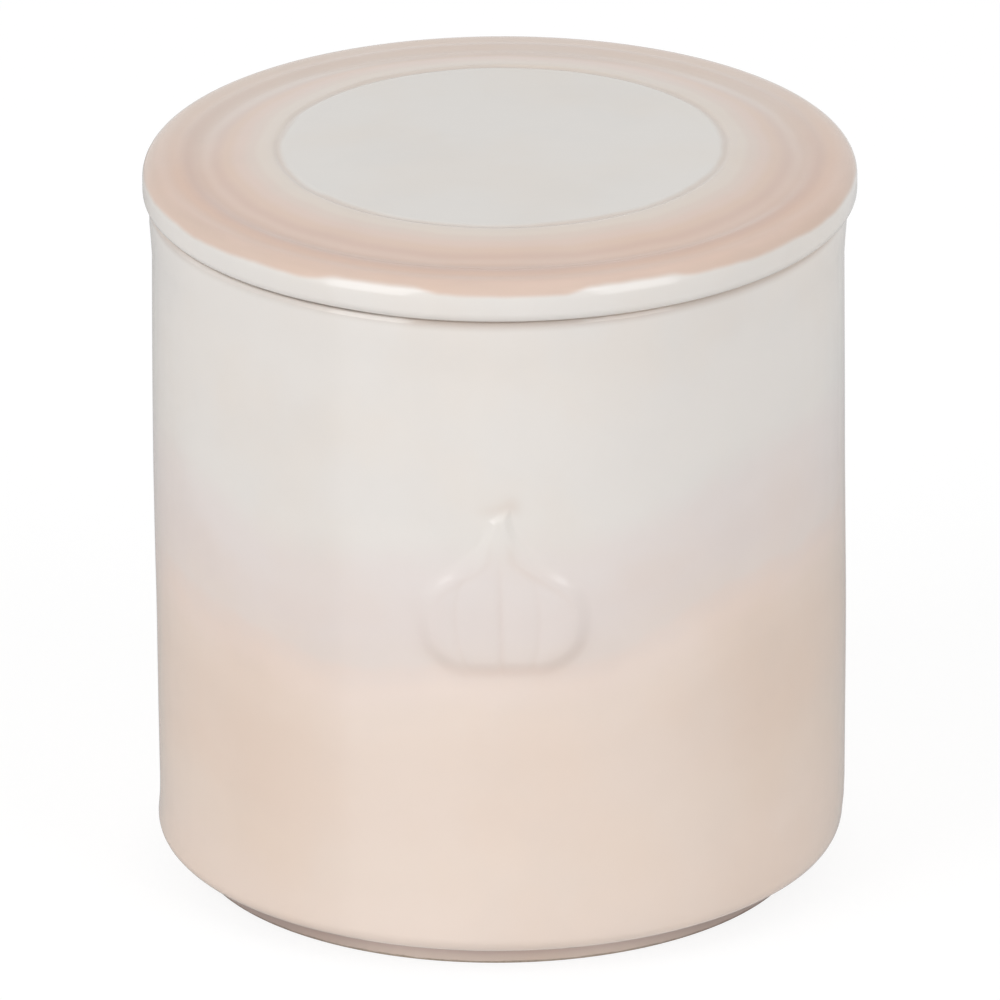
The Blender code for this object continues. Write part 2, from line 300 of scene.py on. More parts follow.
# Painted shade at the top of the foot ring, in the crease under the jar's corner, by height
FOOT_SHADE_TINT = srgb(228, 222, 228)
FOOT_SHADE_LOW = (0.6 * MM, 3.0 * MM)
FOOT_SHADE_HIGH = (FOOT_HEIGHT + 0.2 * MM, FOOT_HEIGHT - 0.3 * MM)
# Painted light: low down at the front the peach is paler, standing in for light bounced from the floor in
# front; by the place in Y, and by how far it is below the glaze line
FRONT_LIGHT_GLAZE = srgb(246, 232, 222)
FRONT_LIGHT_SHARE = 0.32
FRONT_LIGHT_PLACE = (-38.0 * MM, -56.0 * MM)
FRONT_LIGHT_BELOW = (3.0 * MM, -5.0 * MM)
# Bare clay, darker than its own colour so that it also paints the contact shade along the foot's lower edge
CLAY_AND_CONTACT_SHADE = srgb(200, 184, 168)
DARK_CLAY_AND_CONTACT_SHADE = srgb(186, 169, 152)
SILICONE = srgb(228, 226, 221)
CLOUDY_SILICONE = srgb(219, 216, 209)
FLOOR_COLOUR = srgb(231, 231, 231)

# The jar's glaze by height above or below the line where its peach ends
OMBRE = (
    (-48.0 * MM, srgb(234, 216, 203)),
    (-36.0 * MM, srgb(232, 214, 200)),
    (-26.0 * MM, srgb(230, 211, 197)),
    (-16.0 * MM, srgb(229, 210, 196)),
    (-9.0 * MM, srgb(231, 213, 200)),
    (-4.0 * MM, srgb(233, 215, 204)),
    (-1.0 * MM, srgb(231, 215, 206)),
    (2.0 * MM, srgb(229, 217, 210)),
    (8.0 * MM, srgb(228, 217, 212)),
    (16.0 * MM, srgb(229, 220, 216)),
    (26.0 * MM, WHITE_GLAZE),
)
# The height of that line, by degrees round from the front
GLAZE_LINE_BY_DEGREES = (
    (-180, 61.0 * MM), (-135, 57.0 * MM), (-90, 58.0 * MM), (-60, 58.0 * MM), (-30, 54.0 * MM),
    (0, 56.0 * MM), (18, 57.5 * MM), (32, 62.5 * MM), (60, 67.0 * MM), (90, 65.0 * MM), (135, 58.0 * MM),
    (180, 61.0 * MM),
)
# The lid's glaze by distance from the axis
LID_RINGS = (
    (36.6 * MM, srgb(231, 227, 222)),
    (37.8 * MM, srgb(221, 210, 201)),
    (39.0 * MM, srgb(230, 219, 209)),
    (40.5 * MM, srgb(231, 219, 208)),
    (42.0 * MM, srgb(229, 213, 202)),
    (44.0 * MM, srgb(230, 209, 197)),
    (46.0 * MM, srgb(228, 204, 188)),
    (48.0 * MM, srgb(222, 196, 182)),
    (49.5 * MM, srgb(226, 202, 188)),
    (51.0 * MM, srgb(221, 195, 180)),
    (53.0 * MM, srgb(218, 189, 174)),
    (55.2 * MM, srgb(225, 195, 177)),
    (57.6 * MM, srgb(228, 202, 187)),
    # The outermost ring is darker as painted shade over the edge's rounding, which the lamps light strongly
    (59.4 * MM, srgb(219, 195, 180)),
)
# The lid's edge is white below this line and outside this distance from the axis, and all of the lid is
# white from just above its ceiling down
LID_WHITE_LINE = LID_EDGE_TOP - 1.97 * MM
LID_WHITE_SOFTNESS = 0.5 * MM
LID_WHITE_OUTSIDE = (LID_RADIUS - 2.5 * LID_EDGE_ROUNDING, LID_RADIUS - 2 * LID_EDGE_ROUNDING)
LID_WHITE_CEILING = (LID_CEILING + 1.0 * MM, LID_CEILING + 0.3 * MM)
# Painted highlight: the white runs up a little higher to either side of the middle, by the place in X, where
# the soft boxes' highlights fall on the edge
LID_HIGHLIGHT_RISE = 0.8 * MM
HIGHLIGHT_RISE_INNER = (10.0 * MM, 15.0 * MM)
HIGHLIGHT_RISE_OUTER = (33.0 * MM, 27.0 * MM)
# Towards the back its outer rings are paler, where the peach went on thinly
THIN_GLAZE = srgb(229, 222, 214)
THIN_SHARE = 0.55
THIN_BACK = (-20.0 * MM, 44.0 * MM)
THIN_RING = (46.0 * MM, 49.0 * MM)

# How much fine detail is laid over each kind of noise, and how much a wobble widens its noise
NOISE_DETAIL = 2.0
CLOUD_DETAIL = 3.0
GRAIN_DETAIL = 4.0
BUMP_DETAIL = 1.0
WOBBLE_SCALE = 4
# Lines that wobble, each given as the size of its waves and how far they reach
PEACH_WANDER = (22.0 * MM, 2.0 * MM)
PEACH_RIPPLE = (6.0 * MM, 0.6 * MM)
RING_WOBBLE = (14.0 * MM, 0.5 * MM)
WHITE_WOBBLE = (9.0 * MM, 0.2 * MM)
BARE_WOBBLE = (3.0 * MM, 0.12 * MM)
# The glaze ends a little above the foot, and above the plug's lower end
FOOT_BARE_HEIGHT = 0.45 * MM
PLUG_BARE_HEIGHT = 0.35 * MM
BARE_SOFTNESS = 0.1 * MM
# Faint clouds in thick glaze: their size, the noise at which they start and are full, and their tint
CLOUD_SHARE = 0.5
WARM_CLOUD_SIZE = 26.0 * MM
WARM_CLOUD_SHARES = (0.4, 0.68)
WARM_CLOUD = srgb(255, 251, 247)
COOL_CLOUD_SIZE = 17.0 * MM
COOL_CLOUD_SHARES = (0.42, 0.7)
COOL_CLOUD = srgb(251, 252, 253)
# The glaze's gloss and slight waves, and the grain of bare clay
GLAZE_IOR = 1.5
GLAZE_ROUGHNESS = (0.07, 0.13)
CLAY_ROUGHNESS = 0.85
GLOSS_SIZE = 12.0 * MM
WAVE_SIZE = 9.0 * MM
PEEL_SIZE = 1.6 * MM
PEEL_SHARE = 0.12
GLAZE_BUMP = 0.05 * MM
GRAIN_SIZE = 0.5 * MM
GRAIN_SHARES = (0.35, 0.7)
# The soft ring's satin, clouds and grain
SILICONE_IOR = 1.42
SILICONE_ROUGHNESS = (0.38, 0.52)
SILICONE_SATIN_SIZE = 4.0 * MM
SILICONE_CLOUD_SIZE = 8.0 * MM
SILICONE_CLOUD_SHARES = (0.35, 0.7)
SILICONE_GRAIN_SIZE = 0.4 * MM
SILICONE_BUMP = 0.02 * MM


def arc_between(before, corner, after, radius):
    """Points that round off a corner of an outline."""
    back = (before - corner) / np.linalg.norm(before - corner)
    on = (after - corner) / np.linalg.norm(after - corner)
    half = math.acos(np.clip(back @ on, -1, 1)) / 2
    reach = radius / math.tan(half)
    middle = (back + on) / np.linalg.norm(back + on)
    centre = corner + middle * radius / math.sin(half)
    first = corner + back * reach - centre
    last = corner + on * reach - centre
    turn = math.atan2(first[0] * last[1] - first[1] * last[0], first @ last)
    count = max(2, math.ceil(abs(turn) / ARC_STEP))
    points = []
    for step in range(count + 1):
        cosine, sine = math.cos(turn * step / count), math.sin(turn * step / count)
        points.append(centre + (first[0] * cosine - first[1] * sine, first[0] * sine + first[1] * cosine))
    return points


def rounded(corners, closed=False):
    """An outline of (distance, height) points from corners of (distance, height, rounding)."""
    points = []
    count = len(corners)
    for place, (distance, height, radius) in enumerate(corners):
        corner = np.array((distance, height))
        if radius <= 0:
            points.append(corner)
            continue
        before = np.array(corners[place - 1][:2])
        after = np.array(corners[(place + 1) % count][:2])
        points += arc_between(before, corner, after, radius)
    if closed:
        points.append(points[0])
    return np.array(points)


def divided(outline, step_at):
    """The outline with more points on its long runs; step_at gives the longest run allowed at a point."""
    points = [outline[0]]
    for start, end in zip(outline, outline[1:]):
        length = np.linalg.norm(end - start)
        count = math.ceil((length - TINY) / step_at((start + end) / 2))
        points += [start + (end - start) * part / count for part in range(1, count + 1)]
    return np.array(points)


def smooth_line(places, known_places, known_values):
    """A smooth curve through known values, which doesn't overshoot them."""
    x = np.array(known_places, float)
    y = np.array(known_values, float)
    slopes = np.diff(y) / np.diff(x)
    before = np.concatenate(([slopes[0]], slopes))
    after = np.concatenate((slopes, [slopes[-1]]))
    steepest = 3 * np.minimum(np.abs(before), np.abs(after))
    tangents = np.where(before * after > 0, np.clip((before + after) / 2, -steepest, steepest), 0)
    index = np.clip(np.searchsorted(x, places) - 1, 0, len(x) - 2)
    width = x[index + 1] - x[index]
    t = (places - x[index]) / width
    return (
        y[index] * (1 + 2 * t) * (1 - t) ** 2
        + y[index + 1] * t * t * (3 - 2 * t)
        + tangents[index] * width * t * (1 - t) ** 2
        - tangents[index + 1] * width * t * t * (1 - t)
    )


def ease(share):
    """A smooth step from 0 to 1."""
    share = np.clip(share, 0, 1)
    return share * share * (3 - 2 * share)


def hump(offset, width):
    """A smooth bump that is 1 in the middle and has all but gone at width to either side."""
    return np.exp(-((2 * offset / width) ** 2))


def even_angles(start, end, step):
    """Angles from start, at most a step apart, that stop short of end."""
    count = math.ceil((end - start) / step)
    return [start + (end - start) * place / count for place in range(count)]


def jar_angles():
    """Angles round the jar from its front, closer together at the bulb and at the vent holes."""
    back = math.pi - VENT_HALF_ANGLE
    return np.array(
        even_angles(-BULB_HALF_ANGLE, BULB_HALF_ANGLE, BULB_STEP)
        + even_angles(BULB_HALF_ANGLE, back, SIDE_STEP)
        + even_angles(back, math.tau - back, VENT_STEP)
        + even_angles(math.tau - back, math.tau - BULB_HALF_ANGLE, SIDE_STEP)
    )


def full_circle():
    return np.array(even_angles(0, math.tau, SIDE_STEP))


def from_front(angle):
    """The same angle, between half a turn to the left of the front and half a turn to the right."""
    return (angle + math.pi) % math.tau - math.pi


def made(name, points, faces):
    """A mesh object, shaded smooth."""
    data = bpy.data.meshes.new(name)
    data.from_pydata(points, [], faces)
    data.update()
    data.shade_smooth()
    result = bpy.data.objects.new(name, data)
    bpy.context.scene.collection.objects.link(result)
    return result


def turned(name, outline, angles, closed=False, outward=None, upward=None):
    """A body turned about Z, front first, with its outline drawn so that the body is on the left.
    An outline that isn't closed starts and ends on the axis. outward and upward give how far each point
    is moved away from the axis and up."""
    rings = outline[:-1] if closed else outline[1:-1]
    columns = len(angles)
    distance = np.repeat(rings[:, 0], columns)
    height = np.repeat(rings[:, 1], columns)
    angle = np.tile(angles, len(rings))
    lift = upward(distance, height, angle) if upward else 0
    if outward:
        distance = distance + outward(distance, height, angle)
    height = height + lift
    points = np.column_stack((distance * np.sin(angle), -distance * np.cos(angle), height)).tolist()
    faces = []
    for ring in range(len(rings) if closed else len(rings) - 1):
        low = ring * columns
        high = (ring + 1) % len(rings) * columns
        for column in range(columns):
            after = (column + 1) % columns
            faces.append((low + column, low + after, high + after, high + column))
    if not closed:
        last = (len(rings) - 1) * columns
        for column in range(columns):
            after = (column + 1) % columns
            faces.append((len(points), after, column))
            faces.append((len(points) + 1, last + column, last + after))
        points += [(0, 0, outline[0][1]), (0, 0, outline[-1][1])]
    return made(name, points, faces)


def bulb_outline():
    """Points round the bulb's edge as (across, height), with a slanting cut at the end of the stem."""
    up = np.linspace(0, 1, OUTLINE_POINTS)
    lean = -BULB_LEAN * up * up
    half = smooth_line(up, BULB_HEIGHT_SHARES, BULB_WIDTH_SHARES) * BULB_WIDTH / 2
    height = BULB_BOTTOM + up * BULB_HEIGHT
    slant = STEM_SLANT * ease((up - STEM_SLANT_START_SHARE) / (1 - STEM_SLANT_START_SHARE))
    right = np.column_stack((lean + half, height))
    left = np.column_stack((lean - half, height - slant))
    return np.vstack((right, left[::-1]))


def depth_inside(across, height, outline):
    """How far each point lies inside a closed outline; outside it is negative."""
    nearest = np.full(len(across), np.inf)
    inside = np.zeros(len(across), bool)
    for start, end in zip(outline, np.roll(outline, -1, axis=0)):
        run, rise = end - start
        along, up = across - start[0], height - start[1]
        share = np.clip((along * run + up * rise) / max(run * run + rise * rise, TINY), 0, 1)
        nearest = np.minimum(nearest, np.hypot(along - share * run, up - share * rise))
        if rise:
            inside ^= ((up > 0) != (up > rise)) & (along < up * run / rise)
    return np.where(inside, nearest, -nearest)


def bulb_features(across, height):
    """How far each point of the jar's front stands off the wall, and how much darker its glaze is there:
    gathered glaze, and painted shade under the bulb's lower slope.
    """
    up = np.clip((height - BULB_BOTTOM) / BULB_HEIGHT, 0, 1)
    half = smooth_line(up, BULB_HEIGHT_SHARES, BULB_WIDTH_SHARES) * BULB_WIDTH / 2
    from_middle = across + BULB_LEAN * up * up
    depth = depth_inside(across, height, bulb_outline())
    edge = BULB_EDGE * smooth_line(up, EDGE_HEIGHT_SHARES, EDGE_WIDTH_SHARES)
    crown = ease(depth / edge)
    fading = crown * (1 - ease((up - CLOVE_FADE_SHARE) / (CLOVE_TOP_SHARE - CLOVE_FADE_SHARE)))
    seams, hollows = 0, 0
    for place_share, depth_share in CLOVE_SEAM_SHARES:
        seams = seams + depth_share * fading * hump(from_middle - place_share * half, CLOVE_SEAM_WIDTH)
        hollows = hollows + fading * hump(from_middle - place_share * half, CLOVE_HOLLOW_WIDTH)
    rising = ease((up - SHOULDER_START_SHARE) / SHOULDER_EASE_SHARE)
    falling = ease((SHOULDER_END_SHARE - up) / SHOULDER_EASE_SHARE)
    line = rising * falling * hump(depth - edge, SHOULDER_LINE_WIDTH)
    line = np.where(from_middle > 0, line, SHOULDER_LEFT_SHARE * line)
    cuts = CLOVE_SEAM_DEPTH * seams + CLOVE_HOLLOW_DEPTH * hollows + SHOULDER_LINE_DEPTH * line
    # partly gathered glaze, partly painted shade on the bulb's downward-facing lower slope
    base_pool_and_shade = (1 - ease(up / BASE_POOL_AND_SHADE_TOP_SHARE)) * hump(depth - edge / 2, BASE_POOL_AND_SHADE_WIDTH)
    stem = ease((up - STEM_POOL_START_SHARE) / (1 - STEM_POOL_START_SHARE)) * hump(depth, STEM_POOL_WIDTH)
    pooled_and_shade = SEAM_POOL_SHARE * (seams + line) + BASE_POOL_AND_SHADE_SHARE * base_pool_and_shade + STEM_POOL_SHARE * stem
    return BULB_RELIEF * crown - cuts, np.clip(pooled_and_shade, 0, 1)


def on_bulb(distance, height, angle):
    """Which points are on the outer wall near the bulb, and how far they lie across from its middle."""
    turn = from_front(angle)
    near = (np.abs(turn) < BULB_HALF_ANGLE) & (height > DETAIL_LOW) & (height < DETAIL_HIGH)
    return near & (distance > WALL_MIDDLE), turn * JAR_RADIUS


def bulb_relief(distance, height, angle):
    near, across = on_bulb(distance, height, angle)
    relief = np.zeros(len(distance))
    relief[near] = bulb_features(across[near], height[near])[0]
    return relief


def wall_shape(distance, height, angle):
    """How far the wall swells at its middle, flares at its mouth and leans to either side."""
    from_middle = (height - BARREL_HEIGHT) / BARREL_REACH
    barrel = BARREL_CROWN - BARREL_DRAW * from_middle ** 2
    to_mouth = ease((height - (JAR_HEIGHT - FLARE_START)) / FLARE_LENGTH)
    bend = JAR_BEND * smooth_line(height / JAR_HEIGHT, BEND_HEIGHT_SHARES, BEND_SHARES) * np.sin(angle)
    outer_share = np.clip((distance - JAR_BORE) / (JAR_RADIUS - JAR_BORE), 0, 1)
    outer_share = np.maximum(outer_share, ease((BASE_TOP - height) / BASE_EASE))
    return outer_share * (barrel * (1 - to_mouth) + RIM_FLARE * to_mouth + bend)


def jar_outward(distance, height, angle):
    return wall_shape(distance, height, angle) + bulb_relief(distance, height, angle)


def mark_pooled_glaze_and_shade(jar):
    """Notes on the jar's points how much glaze has gathered there, together with painted shade under the
    bulb, for its finish.
    """
    places = np.zeros(3 * len(jar.data.vertices))
    jar.data.vertices.foreach_get("co", places)
    x, y, height = places.reshape(-1, 3).T
    near, across = on_bulb(np.hypot(x, y), height, np.arctan2(x, -y))
    pooled_and_shade = np.zeros(len(height))
    pooled_and_shade[near] = bulb_features(across[near], height[near])[1]
    jar.data.attributes.new(POOLED_AND_SHADE, "FLOAT", "POINT").data.foreach_set("value", pooled_and_shade)


def jar_outline():
    foot_radius = JAR_RADIUS - FOOT_INSET
    foot_inner = foot_radius - FOOT_WIDTH
    floor_top = FOOT_RECESS + JAR_FLOOR
    corners = (
        (0, FOOT_RECESS, 0),
        (foot_inner, FOOT_RECESS, FOOT_CREASE),
        (foot_inner, 0, FOOT_EDGE),
        (foot_radius, 0, FOOT_EDGE),
        (foot_radius, FOOT_HEIGHT, FOOT_CREASE),
        (JAR_RADIUS, FOOT_HEIGHT, JAR_CORNER),
        (JAR_RADIUS, JAR_HEIGHT - RIM_SLOPE_HEIGHT, RIM_SLOPE_ROUNDING),
        (JAR_RADIUS - RIM_SLOPE_INSET, JAR_HEIGHT, RIM_SLOPE_ROUNDING),
        (JAR_BORE, JAR_HEIGHT, RIM_INNER_ROUNDING),
        (JAR_BORE, floor_top, JAR_INNER_FILLET),
        (0, floor_top, 0),
    )

    def step_at(point):
        on_wall = point[0] > WALL_MIDDLE and DETAIL_LOW < point[1] < DETAIL_HIGH
        return FINE_STEP if on_wall else COARSE_STEP

    outline = rounded(corners)
    heights = outline[:, 1]
    rising_past = (heights[:-1] < DETAIL_LOW) & (heights[1:] > DETAIL_HIGH)
    place = np.flatnonzero(rising_past)[0] + 1
    extra = np.array([(JAR_RADIUS, DETAIL_LOW), (JAR_RADIUS, DETAIL_HIGH)])
    return divided(np.insert(outline, place, extra, axis=0), step_at)


def vent_places():
    """Each vent hole's angle from the middle of the back, and its height, in staggered rows."""
    middle_row = (len(VENT_ROW_COUNTS) - 1) / 2
    for row, count in enumerate(VENT_ROW_COUNTS):
        for place in range(count):
            angle = (place - (count - 1) / 2) * VENT_PITCH / JAR_RADIUS
            yield angle, VENT_CENTRE_HEIGHT + (row - middle_row) * VENT_ROW_PITCH


def vent_lip(surface, radius, side):
    """The rounded edge of a vent hole where it meets a face of the wall, running out past that face."""
    start = surface - side * radius
    angles = VENT_LIP_ANGLE * np.arange(VENT_LIP_STEPS + 1) / VENT_LIP_STEPS
    distances = VENT_DIAMETER / 2 + radius * (1 - np.cos(angles))
    heights = start + side * radius * np.sin(angles)
    end = (distances[-1] + VENT_OVERRUN * math.tan(VENT_LIP_ANGLE), heights[-1] + side * VENT_OVERRUN)
    return list(zip(distances, heights)) + [end]


def vent_cutter(angle, height):
    """A round tool with flared ends, through the wall at an angle from the middle of the back."""
    inner = vent_lip(JAR_BORE, VENT_INNER_ROUNDING, -1)
    outer = vent_lip(JAR_RADIUS + BARREL_CROWN, VENT_OUTER_ROUNDING, 1)
    outline = np.array([(0, inner[-1][1])] + inner[::-1] + outer + [(0, outer[-1][1])])
    tool = turned("vent_tool", outline, np.arange(VENT_SIDES) * math.tau / VENT_SIDES)
    onto_back = Matrix.Rotation(-math.pi / 2, 4, "X")
    tool.data.transform(Matrix.Translation((0, 0, height)) @ Matrix.Rotation(-angle, 4, "Z") @ onto_back)
    return tool


def cut(target, tool):
    """Takes the tool's shape out of the target, and removes the tool."""
    step = target.modifiers.new("cut", "BOOLEAN")
    step.operation = "DIFFERENCE"
    step.solver = "EXACT"
    step.object = tool
    shape = bpy.data.meshes.new_from_object(target.evaluated_get(bpy.context.evaluated_depsgraph_get()))
    target.modifiers.remove(step)
    target.data = shape
    bpy.data.objects.remove(tool)


def joined(objects, name):
    """Several separate objects as one."""
    points, faces = [], []
    for obj in objects:
        start = len(points)
        points += [tuple(vertex.co) for vertex in obj.data.vertices]
        faces += [tuple(start + corner for corner in face.vertices) for face in obj.data.polygons]
        bpy.data.objects.remove(obj)
    return made(name, points, faces)


def make_jar():
    jar = turned("jar_glazed", jar_outline(), jar_angles(), outward=jar_outward)
    cut(jar, joined([vent_cutter(angle, height) for angle, height in vent_places()], "vent_tools"))
    mark_pooled_glaze_and_shade(jar)
    return jar


def lid_top(distance):
    """The height of the lid's top, from the flat disc over the groove, the sloping band and the bead."""
    band_start = DISC_RADIUS + GROOVE_WIDTH
    share = np.clip((distance - band_start) / (VALLEY_RADIUS - band_start), 0, 1)
    dropped = smooth_line(share, BAND_WIDTH_SHARES, BAND_DROP_SHARES)
    risen = ease((distance - BEAD_RADIUS) / (LID_EDGE_START - BEAD_RADIUS))
    return (
        DISC_TOP
        - (DISC_RISE + VALLEY_DEPTH) * dropped
        - GROOVE_DEPTH * hump(distance - GROOVE_RADIUS, GROOVE_WIDTH)
        + BEAD_HEIGHT * hump(distance - BEAD_RADIUS, BEAD_WIDTH)
        + VALLEY_DEPTH * risen
    )


def lid_top_outline():
    """From where the edge's rounding starts inward to the axis."""
    ends = (LID_EDGE_START, GROOVE_RADIUS + GROOVE_REACH, GROOVE_RADIUS - GROOVE_REACH, 0)

    def step_at(point):
        return GROOVE_STEP if abs(point[0] - GROOVE_RADIUS) < GROOVE_REACH else LID_STEP

    inward = divided(np.array([(end, 0) for end in ends]), step_at)[1:, 0]
    return np.column_stack((inward, lid_top(inward)))


def lid_outline():
    plug_inner = PLUG_RADIUS - PLUG_WALL
    below = rounded((
        (0, LID_CEILING, 0),
        (plug_inner, LID_CEILING, PLUG_INNER_FILLET),
        (plug_inner, PLUG_BOTTOM, PLUG_ROUNDING),
        (PLUG_RADIUS, PLUG_BOTTOM, PLUG_ROUNDING),
        (PLUG_RADIUS, SEAL_GROOVE_BOTTOM, SEAL_GROOVE_ROUNDING),
        (SEAL_GROOVE_FLOOR, SEAL_GROOVE_BOTTOM, SEAL_GROOVE_ROUNDING),
        (SEAL_GROOVE_FLOOR, SEAL_GROOVE_TOP, SEAL_GROOVE_ROUNDING),
        (PLUG_RADIUS, SEAL_GROOVE_TOP, SEAL_GROOVE_ROUNDING),
        (PLUG_RADIUS, LID_UNDERSIDE, PLUG_FILLET),
        (LID_RADIUS, LID_UNDERSIDE, LID_LOWER_ROUNDING),
        (LID_RADIUS, LID_EDGE_TOP, LID_EDGE_ROUNDING),
        (LID_EDGE_START, LID_EDGE_TOP, 0),
    ))
    return np.vstack((divided(below, lambda point: COARSE_STEP), lid_top_outline()))


def lid_outward(distance, height, angle):
    return DISC_SHIFT * np.sin(angle) * hump(distance - GROOVE_RADIUS, DISC_SHIFT_WIDTH)


def lid_upward(distance, height, angle):
    """How far the lower part of the edge is raised at the front left."""
    turn = from_front(angle)
    around = ease((turn - LIFT_START) / LIFT_EASE) * ease((LIFT_END - turn) / LIFT_EASE)
    low = ease(1 - (height - LID_UNDERSIDE) / (LID_EDGE_HEIGHT / 2))
    outer = ease(2 * (distance - PLUG_RADIUS - PLUG_FILLET) / (LID_RADIUS - PLUG_RADIUS))
    return LID_LIFT * around * low * outer


def make_lid():
    return turned("lid_glazed", lid_outline(), full_circle(), outward=lid_outward, upward=lid_upward)


def make_seal():
    """A band with two rounded lips that reach out almost to the jar's bore."""
    inner = SEAL_GROOVE_FLOOR + SEAL_GAP
    band = inner + SEAL_BAND
    tip = SEAL_HIGH.x
    low, high = SEAL_LOW.z, SEAL_HIGH.z
    lip_root = (high - low - SEAL_LIP_SPACING) / 2
    taper = (lip_root - SEAL_LIP_TIP) / 2

    def lip(bottom):
        return [
            (band, bottom, SEAL_ROOT_ROUNDING),
            (tip, bottom + taper, SEAL_LIP_ROUNDING),
            (tip, bottom + taper + SEAL_LIP_TIP, SEAL_LIP_ROUNDING),
            (band, bottom + lip_root, SEAL_ROOT_ROUNDING),
        ]

    back = [(inner, high, SEAL_ROOT_ROUNDING), (inner, low, SEAL_ROOT_ROUNDING)]
    outline = rounded(lip(low) + lip(high - lip_root) + back, closed=True)
    return turned("seal_soft", outline, full_circle(), closed=True)


def add(tree, kind, values=(), **settings):
    """A node with its settings and inputs; an input given as another node's output is linked."""
    node = tree.nodes.new("ShaderNode" + kind)
    for name, value in settings.items():
        setattr(node, name, value)
    for place, value in dict(values).items():
        if isinstance(value, bpy.types.NodeSocket):
            tree.links.new(value, node.inputs[place])
        else:
            node.inputs[place].default_value = value
    return node


def maths(tree, operation, *values):
    return add(tree, "Math", enumerate(values), operation=operation).outputs[0]


def between(tree, value, start, end):
    """0 at start and 1 at end, with a smooth step between."""
    values = {"Value": value, "From Min": start, "From Max": end}
    return add(tree, "MapRange", values, interpolation_type="SMOOTHSTEP").outputs["Result"]


def both(tree, value, first, second):
    """Two such steps of one value, multiplied; each is given as its start and end."""
    return maths(tree, "MULTIPLY", between(tree, value, *first), between(tree, value, *second))


def ranged(tree, value, low, high):
    """A value from 0 to 1 as one from low to high."""
    return add(tree, "MapRange", {"Value": value, "To Min": low, "To Max": high}).outputs["Result"]


def noise(tree, place, size, detail=NOISE_DETAIL):
    """Soft random values about a half, in spots of about the given size."""
    return add(tree, "TexNoise", {"Vector": place, "Scale": 1 / size, "Detail": detail}).outputs[0]


def wobble(tree, place, size, reach):
    """Soft random lengths, up to about reach to either side of zero."""
    centred = maths(tree, "SUBTRACT", noise(tree, place, size), 0.5)
    return maths(tree, "MULTIPLY", centred, WOBBLE_SCALE * reach)


def mix(tree, share, first, second, blend_type="MIX"):
    """A colour that goes from first to second by share, or with another kind of blend."""
    colours = {0: share, 6: first, 7: second}
    return add(tree, "Mix", colours, data_type="RGBA", blend_type=blend_type).outputs[2]


def mix_numbers(tree, share, first, second):
    """A number that goes from first to second by share."""
    return add(tree, "Mix", {0: share, 2: first, 3: second}, data_type="FLOAT").outputs[0]


def ramp(tree, value, stops, interpolation="EASE"):
    """A colour by value, from (value, colour) stops."""
    low, high = stops[0][0], stops[-1][0]
    share = add(tree, "MapRange", {"Value": value, "From Min": low, "From Max": high}).outputs["Result"]
    node = add(tree, "ValToRGB", {0: share})
    node.color_ramp.interpolation = interpolation
    elements = node.color_ramp.elements
    for stop, colour in stops[1:-1]:
        elements.new((stop - low) / (high - low))
    for element, (stop, colour) in zip(elements, stops):
        element.color = colour
    return node.outputs["Color"]


def new_finish(name):
    """A material, its node tree, its shader, and the place on the object with its parts."""
    finish = bpy.data.materials.new(name)
    finish.use_nodes = True
    tree = finish.node_tree
    shader = tree.nodes["Principled BSDF"]
    place = add(tree, "TexCoord").outputs["Object"]
    parts = add(tree, "SeparateXYZ", {0: place}).outputs
    return finish, tree, shader, place, parts


def distance_from_axis(tree, parts):
    squares = [maths(tree, "MULTIPLY", parts[i], parts[i]) for i in range(2)]
    return maths(tree, "SQRT", maths(tree, "ADD", *squares))


def clouded(tree, place, colour):
    """The colour with faint warm and cool clouds, as thick glaze has."""
    for size, shares, tint in (
        (WARM_CLOUD_SIZE, WARM_CLOUD_SHARES, WARM_CLOUD),
        (COOL_CLOUD_SIZE, COOL_CLOUD_SHARES, COOL_CLOUD),
    ):
        cloud = between(tree, noise(tree, place, size, CLOUD_DETAIL), *shares)
        colour = mix(tree, maths(tree, "MULTIPLY", cloud, CLOUD_SHARE), colour, tint, "MULTIPLY")
    return colour


def glaze_bump(tree, place, shader):
    """The very slight waves and orange peel of a poured glaze."""
    waves = noise(tree, place, WAVE_SIZE, BUMP_DETAIL)
    peel = noise(tree, place, PEEL_SIZE, BUMP_DETAIL)
    height = maths(tree, "ADD", waves, maths(tree, "MULTIPLY", peel, PEEL_SHARE))
    bump = add(tree, "Bump", {"Height": height, "Distance": GLAZE_BUMP, "Strength": 1.0})
    tree.links.new(bump.outputs[0], shader.inputs["Normal"])


def glaze_gloss(tree, place, shader, bare):
    """Gloss that varies a little, and none where the clay is bare."""
    gloss = ranged(tree, noise(tree, place, GLOSS_SIZE), *GLAZE_ROUGHNESS)
    tree.links.new(mix_numbers(tree, bare, gloss, CLAY_ROUGHNESS), shader.inputs["Roughness"])
    shader.inputs["IOR"].default_value = GLAZE_IOR


def clay_colour(tree, place):
    """Bare fired clay, with a fine grain, its colour darkened partly as painted contact shade along the
    foot's lower edge.
    """
    grain = between(tree, noise(tree, place, GRAIN_SIZE, GRAIN_DETAIL), *GRAIN_SHARES)
    return mix(tree, grain, CLAY_AND_CONTACT_SHADE, DARK_CLAY_AND_CONTACT_SHADE)


def bare_clay(tree, place, height, level):
    """1 where the clay is bare, below a wobbling line at about the given height."""
    line = maths(tree, "ADD", wobble(tree, place, *BARE_WOBBLE), level)
    return between(tree, maths(tree, "SUBTRACT", height, line), BARE_SOFTNESS, -BARE_SOFTNESS)


